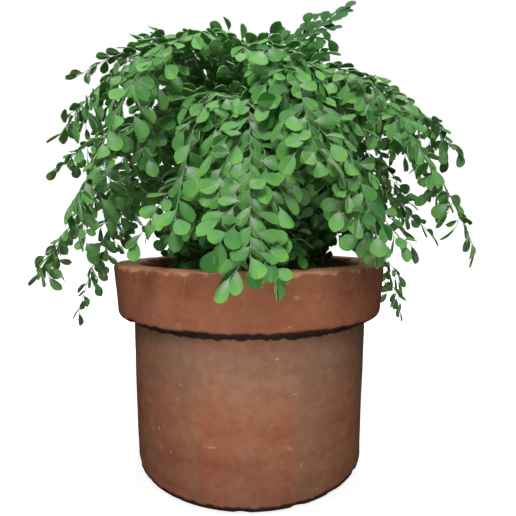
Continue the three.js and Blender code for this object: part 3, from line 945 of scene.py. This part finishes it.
class FERN_OT_soil(bpy.types.Operator):
    """Fills the pot with crumbly soil"""

    bl_idname = "fern.soil"
    bl_label = "Soil"

    def execute(self, context):
        scene = context.scene
        pot, soil = scene.fern_pot, scene.fern_soil
        base = pot.bottom + SOIL_GAP
        edge = inner_radius(pot, soil.edge_height) - 3 * SOIL_GAP
        bm = bmesh.new()
        radii = [edge * (SOIL_RINGS - n) / SOIL_RINGS for n in range(SOIL_RINGS + 1)]
        top = [(radius, soil_top(scene, radius)) for radius in radii]
        spin_round(bm, [(0, base), (inner_radius(pot, base) - 3 * SOIL_GAP, base), *top], SOIL_SEGMENTS)
        for vert in bm.verts:
            if vert.co.z > soil.edge_height - SOIL_GAP:
                off_wall = clamp((edge - vert.co.xy.length) / (4 * MM))
                vert.co.z += soil_bump(soil, vert.co) * off_wall
        crumbs = self.scatter_crumbs(scene, edge)
        bm.from_mesh(crumbs)
        bpy.data.meshes.remove(crumbs)
        smooth_all(bm)
        add_piece("soil_bed", saved_mesh(bm, "soil_bed", potting_soil(soil)), "soil")
        return {"FINISHED"}

    def scatter_crumbs(self, scene, edge):
        """Half-sunk crumbs, well spread over the soil, each with its own lumpy shape."""
        soil = scene.fern_soil
        draw = random.Random(11)
        crumb = bmesh.new()
        bmesh.ops.create_icosphere(crumb, subdivisions=2, radius=1)
        template = saved_mesh(crumb, "crumb")
        bm = bmesh.new()
        for n in range(soil.crumbs):
            radius = edge * CRUMBS_REACH * math.sqrt((n + 0.5) / soil.crumbs)
            turn = n * math.tau * GOLDEN_SHARE + draw.uniform(-CRUMB_STRAY, CRUMB_STRAY)
            size = soil.crumb_radius * draw.uniform(*CRUMB_SIZES) ** SMALL_CRUMBS
            flat = Vector((radius * math.cos(turn), radius * math.sin(turn), 0))
            place = flat + Vector((0, 0, soil_top(scene, radius)))
            place.z += soil_bump(soil, place) + size * CRUMB_LIFT
            tip, spin = draw.uniform(0, math.tau), draw.uniform(0, math.tau)
            tilt = Matrix.Rotation(tip, 4, "X") @ Matrix.Rotation(spin, 4, "Z")
            shape = Matrix.Translation(place) @ tilt @ Matrix.Diagonal(CRUMB_WIDTHS * size).to_4x4()
            for vert in append(bm, template):
                lump = noise.noise(vert.co * CRUMB_LUMPS[0] + Vector((n, 0, 0))) * CRUMB_LUMPS[1]
                vert.co = shape @ (vert.co * (1 + lump))
        bpy.data.meshes.remove(template)
        return saved_mesh(bm, "crumbs")


# ---- Fronds ----


class RibLine:
    """A rib's course: its place, direction, right side and upper side at any distance along it."""

    def __init__(self, points, right):
        self.points = points
        self.right = right
        self.distances = [0.0]
        for start, end in zip(points, points[1:]):
            self.distances.append(self.distances[-1] + (end - start).length)
        self.length = self.distances[-1]
        steps = [(end - start).normalized() for start, end in zip(points, points[1:])]
        self.headings = [steps[0], *((a + b).normalized() for a, b in zip(steps, steps[1:])), steps[-1]]

    def at(self, distance):
        distance = clamp(distance, 0, self.length)
        n = next((k for k, d in enumerate(self.distances[1:]) if d >= distance), len(self.points) - 2)
        share = (distance - self.distances[n]) / (self.distances[n + 1] - self.distances[n])
        place = self.points[n].lerp(self.points[n + 1], share)
        along = self.headings[n].lerp(self.headings[n + 1], share).normalized()
        right = (self.right - along * self.right.dot(along)).normalized()
        return place, along, right, right.cross(along)


def spread(n):
    """Numbers from -1 to 1 that are well spread over a run of whole numbers."""
    return 2 * ((n * GOLDEN_SHARE) % 1) - 1


def main_rib(scene, root, row, sway):
    """The arching course of a frond's main rib, from the bottom of its hole to its tip, as in the part."""
    azimuth, reach, tip_height, middle_height, roll = (*row, 0)[:5]
    turn = math.radians(azimuth)
    out = Vector((math.sin(turn), -math.cos(turn), 0))
    right = Vector((out.y, -out.x, 0))
    root_height = soil_top(scene, root * MM) / MM - STALK_DEPTH
    # The curve's middle is an eighth of its two ends and six eighths of its arch
    arch = (middle_height - (root_height + tip_height) / 8) / (6 / 8)
    shoulder = clamp(SHOULDER + SHOULDER_PER_FALL * (middle_height - tip_height), *SHOULDER_RANGE)

    def point(radius, height, aside):
        return (out * radius + right * aside + Vector((0, 0, height))) * MM

    ends = [
        point(root, root_height, 0),
        point(root, arch, 0),
        point(reach * shoulder, arch, sway * TIP_SWAY_AT_SHOULDER),
        point(reach, tip_height, sway),
    ]
    chord = (ends[3] - ends[0]).normalized()
    right = Matrix.Rotation(math.radians(roll), 3, chord) @ right
    return RibLine(interpolate_bezier(*ends, MAIN_RIB_POINTS), right)


def list_fronds(scene):
    """Each frond's node, habit and main rib."""
    rows = [(ring, row) for ring, rows in FRONDS.items() for row in rows]
    for ring, plan in EVEN_FRONDS.items():
        for n in range(plan["count"]):
            reach, tip_height, middle_height = plan["turns"][n % len(plan["turns"])]
            lift = UNEVEN_HEIGHT * spread(n)
            azimuth = plan["first"] + 360 * n / plan["count"]
            rows.append((ring, (azimuth, reach, tip_height + lift, middle_height + lift)))
    counts = defaultdict(int)
    fronds = []
    for n, (ring, row) in enumerate(rows):
        counts[ring] += 1
        node = f"frond_{ring}_{counts[ring]}"
        habit = dict(zip(HABIT, RINGS[ring])) | OWN_HABITS.get(node, {})
        fronds.append((node, habit, main_rib(scene, habit["root"], row, SWAY * spread(n))))
    return fronds


def tube_template(steps):
    """A round rod of radius 1 along Z from 0 to 1, closed at both ends."""
    bm = new_shape()
    bmesh.ops.create_circle(bm, cap_ends=False, radius=1, segments=TUBE_SIDES)
    edges = bm.edges[:]
    for _ in range(steps):
        made = bmesh.ops.extrude_edge_only(bm, edges=edges)["geom"]
        edges = [item for item in made if isinstance(item, bmesh.types.BMEdge)]
        verts = [item for item in made if isinstance(item, bmesh.types.BMVert)]
        bmesh.ops.translate(bm, verts=verts, vec=(0, 0, 1 / steps))
    bmesh.ops.holes_fill(bm, edges=[edge for edge in bm.edges if edge.is_boundary], sides=TUBE_SIDES)
    bmesh.ops.recalc_face_normals(bm, faces=bm.faces[:])
    smooth_all(bm)
    return saved_mesh(bm, "tube")


def leaflet_template(fold, curl, notch, wide):
    """A closed thin leaflet of length 1 along +Y, its upper side towards +Z, its root at the origin."""
    bm = new_shape()
    rows = len(LEAFLET_ROWS) - 1
    bmesh.ops.create_grid(bm, x_segments=4, y_segments=rows, size=0.5)
    for vert in bm.verts:
        across = vert.co.x * 2
        row = round((vert.co.y + 0.5) * rows)
        along, half_width, bow = LEAFLET_ROWS[row]
        aside = across * half_width * wide
        reach = along - bow * across * across
        if row == rows:
            reach -= notch * (1 - abs(across))
        cup = -LEAFLET_CUP * aside * aside
        vert.co = Vector((aside, reach, fold * abs(aside) + cup - curl * reach * reach))
    bmesh.ops.solidify(bm, geom=bm.faces[:], thickness=LEAFLET_THICKNESS)
    bm.verts.ensure_lookup_table()
    under = bm.verts.layers.float[UNDER]
    sheet = len(bm.verts) // 2
    for vert in bm.verts[sheet:]:
        vert[under] = 1
    uv = bm.loops.layers.uv[MAP]
    smooth_all(bm)
    for face in bm.faces:
        face.material_index = 1
        for loop in face.loops:
            loop[uv].uv = (0.5 + loop.vert.co.x, loop.vert.co.y)
    for edge in bm.edges:
        on_midrib = all(abs(vert.co.x) < 1e-5 for vert in edge.verts)
        edge.smooth = edge.calc_face_angle(0) < math.radians(60) and not (on_midrib and fold > CREASE)
    return saved_mesh(bm, "leaflet")


class Crowd:
    """The middles of the leaflets that have grown, so that none grows inside another."""

    def __init__(self, room):
        self.room = room
        self.taken = defaultdict(list)

    def cell(self, place):
        return tuple(math.floor(value / self.room) for value in place)

    def is_free(self, place):
        x, y, z = self.cell(place)
        near = product((x - 1, x, x + 1), (y - 1, y, y + 1), (z - 1, z, z + 1))
        return all((other - place).length > self.room for key in near for other in self.taken.get(key, ()))

    def add(self, place):
        self.taken[self.cell(place)].append(place)


class FERN_OT_fronds(bpy.types.Operator):
    """Grows the fronds: main ribs, side ribs and leaflets"""

    bl_idname = "fern.fronds"
    bl_label = "Fronds"

    def execute(self, context):
        self.scene = context.scene
        self.fern = self.scene.fern_plant
        self.tubes = {}
        self.leaflets = [leaflet_template(*form) for form in LEAFLET_FORMS]
        self.crowd = Crowd(LEAFLET_ROOM)
        skins = (rib_skin(self.fern), leaf_skin(self.fern))
        fronds = list_fronds(self.scene)
        grown = 0
        for n, (node, habit, line) in enumerate(fronds):
            bm = new_shape()
            grown += self.grow_frond(bm, habit, line, random.Random(n + 1))
            add_piece(node.replace("frond", "fern"), saved_mesh(bm, node, *skins), node)
        for template in (*self.tubes.values(), *self.leaflets):
            bpy.data.meshes.remove(template)
        print(f"{grown} leaflets on {len(fronds)} fronds")
        return {"FINISHED"}

    def clears_all(self, place):
        """Whether a point of the foliage is clear of the pot and the soil, and within the frame's box."""
        pot = self.scene.fern_pot
        low, high = CAD_BOX
        slack = (high - low) * BOX_SLACK
        if any(not low[k] - slack[k] < place[k] < high[k] + slack[k] for k in range(3)):
            return False
        radius = place.xy.length
        if place.z > pot.height + FOLIAGE_CLEARANCE or radius > pot.rim_radius + FOLIAGE_CLEARANCE:
            return True
        inside = radius < inner_radius(pot, place.z) - FOLIAGE_CLEARANCE
        return inside and place.z > soil_top(self.scene, radius) + FOLIAGE_CLEARANCE

    def lay_tube(self, bm, rib, start, knee, end, tones):
        """Bends a rod along a rib. Its radius goes from start to knee in the first third, and on to end."""
        steps = len(rib.points) - 1
        if steps not in self.tubes:
            self.tubes[steps] = tube_template(steps)
        tone = bm.verts.layers.float[TONE]
        stations = [rib.at(distance) for distance in rib.distances]
        for vert in append(bm, self.tubes[steps]):
            n = round(vert.co.z * steps)
            place, _, right, up = stations[n]
            share = n / steps
            radius = mix(start, knee, share * 3) if share < 1 / 3 else mix(knee, end, (share - 1 / 3) * 1.5)
            vert[tone] = mix(*tones, share)
            vert.co = place + (right * vert.co.x + up * vert.co.y) * radius

    def grow_leaflet(self, bm, line, distance, side, size, tones, draw):
        """Tries a leaflet a few ways until it finds room, and says whether it did."""
        own_tone = draw.uniform(*tones)
        place, along, right, up = line.at(distance)
        # From 0 on a rising rib to 1 on one that falls steeply
        loose = clamp(0.1 - 2 * along.z)
        droops = [mix(*ends, loose) for ends in zip(FLAT_DROOP, LOOSE_DROOP)]
        most_twist = mix(FLAT_TWIST, LOOSE_TWIST, loose)
        for _ in range(LEAFLET_TRIES):
            angle = math.radians(draw.uniform(*(LEAFLET_ANGLE if side else END_LEAFLET_ANGLE)))
            droop = math.radians(draw.uniform(*droops))
            twist = math.radians(draw.uniform(-most_twist, most_twist))
            out = Matrix.Rotation(-side * angle if side else angle, 3, up) @ along
            tilt = Matrix.Rotation(-droop, 3, out.cross(up))
            out = tilt @ out
            face = Matrix.Rotation(twist, 3, out) @ (tilt @ up)
            middle = place + out * size * LEAFLET_MIDDLE
            if not self.clears_all(place + out * size) or not self.crowd.is_free(middle):
                continue
            self.crowd.add(middle)
            turn = Matrix((out.cross(face), out, face)).transposed().to_4x4()
            shape = Matrix.Translation(place) @ turn @ Matrix.Scale(size, 4)
            verts = append(bm, draw.choice(self.leaflets))
            bmesh.ops.transform(bm, matrix=shape, verts=verts)
            tone = bm.verts.layers.float[TONE]
            for vert in verts:
                vert[tone] = own_tone
            return True
        return False

    def grow_side_rib(self, bm, start, side, reach, size, habit, rib_tones, draw):
        """A side rib that bends at each leaflet, in two rows, with one at its end. Counts its leaflets."""
        place, along, up = start
        angle = math.radians(draw.uniform(*SIDE_RIB_ANGLE))
        hanging = clamp(0.5 - along.z)
        low, high = (mix(*ends, hanging) for ends in zip(habit["crest"], HANGING_TILT))
        tones = habit["tones"]
        tilt = math.radians(draw.uniform(low, high))
        sag = draw.uniform(*SIDE_RIB_SAG)
        heading = Matrix.Rotation(-side * angle, 3, up) @ along
        leaning = Matrix.Rotation(-tilt, 3, heading.cross(up))
        heading = leaning @ heading
        across = heading.cross(leaning @ up)
        nodes = max(2, round(reach / self.fern.leaflet_spacing))
        points = [place]
        for n in range(nodes):
            step = self.fern.leaflet_spacing * draw.uniform(*LEAFLET_STEP)
            heading = (heading + Vector((0, 0, -sag)) + along * SIDE_RIB_TURN).normalized()
            swing = across * (-side if n % 2 else side) * TWIG_ZIGZAG
            points.append(points[-1] + heading * step + swing)
        if not all(self.clears_all(point) for point in points[2:]):
            return 0
        rib = RibLine(points, across)
        knee = (RIB_TIP_RADIUS + TWIG_RADIUS) / 2
        self.lay_tube(bm, rib, RIB_TIP_RADIUS, knee, TWIG_RADIUS, rib_tones)
        grown = 0
        for n in range(1, nodes):
            leaflet = size * draw.uniform(*LEAFLET_SIZES)
            beside = side if n % 2 else -side
            grown += self.grow_leaflet(bm, rib, rib.distances[n], beside, leaflet, tones, draw)
        return grown + self.grow_leaflet(bm, rib, rib.length, 0, size * END_LEAFLET, tones, draw)

    def bent_rib(self, line, apart, first, draw):
        """A main rib with a node wherever something grows: it zigzags a little there, and wanders."""
        nodes = round(line.length / apart)
        starts = [Vector([draw.uniform(0, NOISE_ROOM) for _ in range(3)]) for _ in range(2)]
        points = []
        for n in range(nodes + 1):
            distance = line.length * n / nodes
            place, _, right, up = line.at(distance)
            free = math.sin(math.pi * n / nodes)
            step = Vector((0, 0, distance * WANDERS_PER_METRE))
            aside, over = (noise.noise(start + step) * RIB_WANDER * free for start in starts)
            swing = RIB_ZIGZAG * (-1 if n % 2 else 1) * clamp((distance - first) / ZIGZAG_START) * free
            points.append(place + right * (aside + swing) + up * over)
        return RibLine(points, line.right)

    def grow_frond(self, bm, habit, line, draw):
        """One frond: longer side ribs first, then short ones, then single leaflets up to its tip."""
        first = line.length * habit["bare"]
        rib = self.bent_rib(line, habit["apart"] * MM, first, draw)
        self.lay_tube(bm, rib, STALK_RADIUS, RIB_RADIUS, RIB_TIP_RADIUS, (0, habit["rib"]))
        longest = habit["side_rib"] * MM
        size = habit["leaflet"] * MM * self.fern.leaflet_scale
        tones = habit["tones"]
        taper = habit.get("taper") or draw.uniform(*TAPER)
        grown = 0
        for n, distance in enumerate(rib.distances[:-1]):
            if distance < first:
                continue
            share = (distance - first) / (rib.length - first)
            side = -1 if n % 2 else 1
            place, along, _, up = rib.at(distance)
            swell = clamp(0.5 + 0.5 * share / SIDE_RIB_SWELL)
            reach = longest * swell * (1 - share) ** taper * draw.uniform(*SIDE_RIB_REACH)
            leaflet = size * mix(FIRST_LEAFLET, 1.0, share)
            if reach > SHORTEST_SIDE_RIB:
                rib_tones = (habit["rib"] * distance / rib.length, habit["rib"] + TWIGS_GREENER)
                start = (place, along, up)
                grown += self.grow_side_rib(bm, start, side, reach, leaflet, habit, rib_tones, draw)
                grown += self.grow_leaflet(bm, rib, distance, -side, leaflet, tones, draw)
            else:
                leaflet *= SINGLE_LEAFLET
                grown += self.grow_leaflet(bm, rib, distance, side, leaflet, tones, draw)
        return grown + self.grow_leaflet(bm, rib, rib.length, 0, size, tones, draw)


# ---- Panel and registration ----

GROUPS = {
    "fern_stage": StageSettings,
    "fern_pot": PotSettings,
    "fern_soil": SoilSettings,
    "fern_plant": FernSettings,
}
OPERATORS = (FERN_OT_stage, FERN_OT_pot, FERN_OT_soil, FERN_OT_fronds)


class FERN_PT_sidebar(bpy.types.Panel):
    """The fern's pieces and their sizes and colours"""

    bl_idname = "FERN_PT_sidebar"
    bl_label = "Potted fern"
    bl_space_type = "VIEW_3D"
    bl_region_type = "UI"
    bl_category = "Fern"

    def draw(self, context):
        for operator, name in zip(OPERATORS, GROUPS):
            box = self.layout.box()
            box.operator(operator.bl_idname)
            settings = getattr(context.scene, name)
            for field in settings.__annotations__:
                box.prop(settings, field)


CLASSES = (*GROUPS.values(), *OPERATORS, FERN_PT_sidebar)


def register():
    for registered in CLASSES:
        bpy.utils.register_class(registered)
    for name, group in GROUPS.items():
        setattr(bpy.types.Scene, name, PointerProperty(type=group))


def unregister():
    for name in GROUPS:
        delattr(bpy.types.Scene, name)
    for registered in reversed(CLASSES):
        bpy.utils.unregister_class(registered)


def main():
    register()
    bpy.ops.fern.stage()
    bpy.ops.fern.pot()
    bpy.ops.fern.soil()
    bpy.ops.fern.fronds()


if __name__ == "__main__":
    main()
